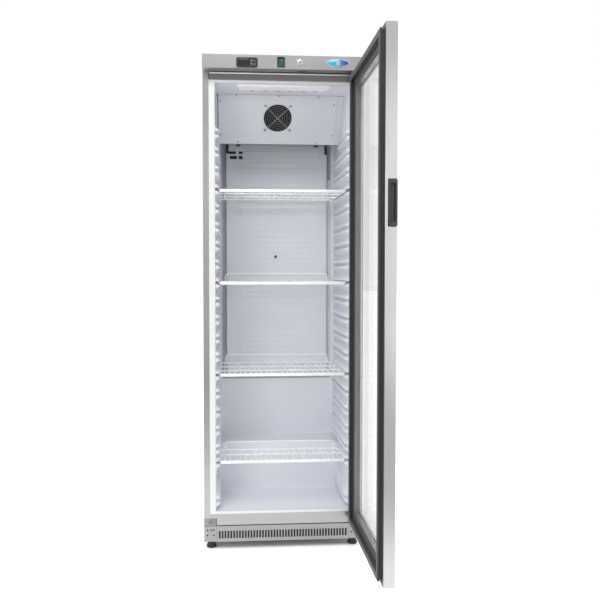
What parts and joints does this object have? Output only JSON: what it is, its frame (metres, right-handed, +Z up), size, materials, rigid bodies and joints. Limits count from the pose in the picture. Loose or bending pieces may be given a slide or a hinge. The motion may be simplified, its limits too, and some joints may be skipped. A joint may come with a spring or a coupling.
{
  "type": "reach in refrigerator",
  "caption": "Upright stainless steel refrigerator with a hinged glass door standing open, sliding wire shelves in a white liner, ceiling fan unit, header controls and levelling feet.",
  "frame": {"origin": "bottom centre of the whole object's box with the door open at a right angle; the cabinet stands behind it", "axes": "+Z up, +X to the right seen from the front, +Y from the front to the back of the cabinet"},
  "size_m": [0.6, 1.1572, 1.85],
  "materials": {
    "stainless": "satin",
    "zinc_sheet": "satin",
    "white_liner": "satin",
    "white_coated": "satin",
    "frosted_lens": "satin",
    "black_plastic": "satin",
    "dark_plastic": "satin",
    "grey_plastic": "satin",
    "gasket_rubber": "matte",
    "insulation": "matte",
    "chrome": "polished",
    "aluminium": "satin",
    "copper_pipe": "satin",
    "black_enamel": "gloss",
    "clear_glass": "polished",
    "display_glass": "gloss",
    "green_lens": "gloss",
    "blue_badge": "gloss"
  },
  "bodies": {
    "cabinet": {"side_panel_left": "stainless", "side_panel_right": "stainless", "top_panel": "stainless", "rear_panel": "zinc_sheet", "base_pan": "zinc_sheet", "upper_front_rail": "stainless", "lower_front_rail": "stainless", "plinth_grille": "stainless", "hinge_plate_left": "stainless", "lower_hinge_bracket": "stainless", "upper_hinge_plate": "zinc_sheet", "liner": "white_liner", "foam_body": "insulation", "lamp_cover": "frosted_lens", "led_strip": "aluminium", "fan_cover": "white_coated", "fan_frame": "black_plastic", "fan_guard": "chrome", "evaporator_plate": "white_coated", "air_probe": "grey_plastic", "header_panel": "stainless", "controller_body": "black_plastic", "controller_window": "display_glass", "switch_bezel": "black_plastic", "lock_body": "chrome", "badge_plate": "blue_badge", "compressor": "black_enamel", "evaporation_tray": "grey_plastic", "condenser": "aluminium", "refrigerant_pipe": "copper_pipe", "electrical_box": "grey_plastic", "rear_cover": "zinc_sheet", "cord_gland": "black_plastic"},
    "door": {"door_skin": "stainless", "door_core": "insulation", "door_inner_frame": "dark_plastic", "glazing_bead": "grey_plastic", "door_gasket": "gasket_rubber", "outer_pane": "clear_glass", "inner_pane": "clear_glass", "glass_spacer": "aluminium", "door_handle": "black_plastic", "door_bush_lower": "black_plastic", "door_bush_upper": "black_plastic"},
    "fan_rotor": {"fan_rotor": "black_plastic"},
    "switch_rocker": {"switch_rocker": "green_lens"},
    "lock_barrel": {"lock_barrel": "chrome"},
    "controller_button_1": {"controller_button_1": "dark_plastic"},
    "controller_button_2": {"controller_button_2": "dark_plastic"},
    "controller_button_3": {"controller_button_3": "dark_plastic"},
    "controller_button_4": {"controller_button_4": "dark_plastic"},
    "shelf_1": {"shelf_1": "white_coated"},
    "shelf_2": {"shelf_2": "white_coated"},
    "shelf_3": {"shelf_3": "white_coated"},
    "shelf_4": {"shelf_4": "white_coated"},
    "foot_front_left": {"foot_front_left": "black_plastic"},
    "foot_front_right": {"foot_front_right": "black_plastic"},
    "foot_rear_left": {"foot_rear_left": "black_plastic"},
    "foot_rear_right": {"foot_rear_right": "black_plastic"}
  },
  "joints": [
    {"name": "door_hinge", "type": "hinge", "parent": "cabinet", "child": "door", "pos_m": [0.276, -0.00215, 0.95], "axis": [0, 0, 1], "range_deg": [-90, 20]},
    {"name": "fan_spin", "type": "hinge", "parent": "cabinet", "child": "fan_rotor", "pos_m": [-0.0055, 0.26691, 1.68555], "axis": [0, 0.838, 0.5457], "continuous": true},
    {"name": "power_switch", "type": "hinge", "parent": "cabinet", "child": "switch_rocker", "pos_m": [-0.011, -0.01615, 1.8245], "axis": [1, 0, 0], "range_deg": [-20, 0]},
    {"name": "lock_turn", "type": "hinge", "parent": "cabinet", "child": "lock_barrel", "pos_m": [0.0594, -0.01, 1.8245], "axis": [0, 1, 0], "range_deg": [0, 90]},
    {"name": "button_1_press", "type": "slide", "parent": "cabinet", "child": "controller_button_1", "axis": [0, 1, 0], "range_m": [0, 0.0008], "stiffness_N_per_m": 400},
    {"name": "button_2_press", "type": "slide", "parent": "cabinet", "child": "controller_button_2", "axis": [0, 1, 0], "range_m": [0, 0.0008], "stiffness_N_per_m": 400},
    {"name": "button_3_press", "type": "slide", "parent": "cabinet", "child": "controller_button_3", "axis": [0, 1, 0], "range_m": [0, 0.0008], "stiffness_N_per_m": 400},
    {"name": "button_4_press", "type": "slide", "parent": "cabinet", "child": "controller_button_4", "axis": [0, 1, 0], "range_m": [0, 0.0008], "stiffness_N_per_m": 400},
    {"name": "shelf_1_slide", "type": "slide", "parent": "cabinet", "child": "shelf_1", "axis": [0, -1, 0], "range_m": [0, 0.3]},
    {"name": "shelf_2_slide", "type": "slide", "parent": "cabinet", "child": "shelf_2", "axis": [0, -1, 0], "range_m": [0, 0.3]},
    {"name": "shelf_3_slide", "type": "slide", "parent": "cabinet", "child": "shelf_3", "axis": [0, -1, 0], "range_m": [0, 0.3]},
    {"name": "shelf_4_slide", "type": "slide", "parent": "cabinet", "child": "shelf_4", "axis": [0, -1, 0], "range_m": [0, 0.18]},
    {"name": "foot_front_left_turn", "type": "hinge", "parent": "cabinet", "child": "foot_front_left", "pos_m": [-0.273, 0.06735, 0.02], "axis": [0, 0, 1], "continuous": true},
    {"name": "foot_front_right_turn", "type": "hinge", "parent": "cabinet", "child": "foot_front_right", "pos_m": [0.273, 0.06735, 0.02], "axis": [0, 0, 1], "continuous": true},
    {"name": "foot_rear_left_turn", "type": "hinge", "parent": "cabinet", "child": "foot_rear_left", "pos_m": [-0.273, 0.52885, 0.02], "axis": [0, 0, 1], "continuous": true},
    {"name": "foot_rear_right_turn", "type": "hinge", "parent": "cabinet", "child": "foot_rear_right", "pos_m": [0.273, 0.52885, 0.02], "axis": [0, 0, 1], "continuous": true}
  ]
}
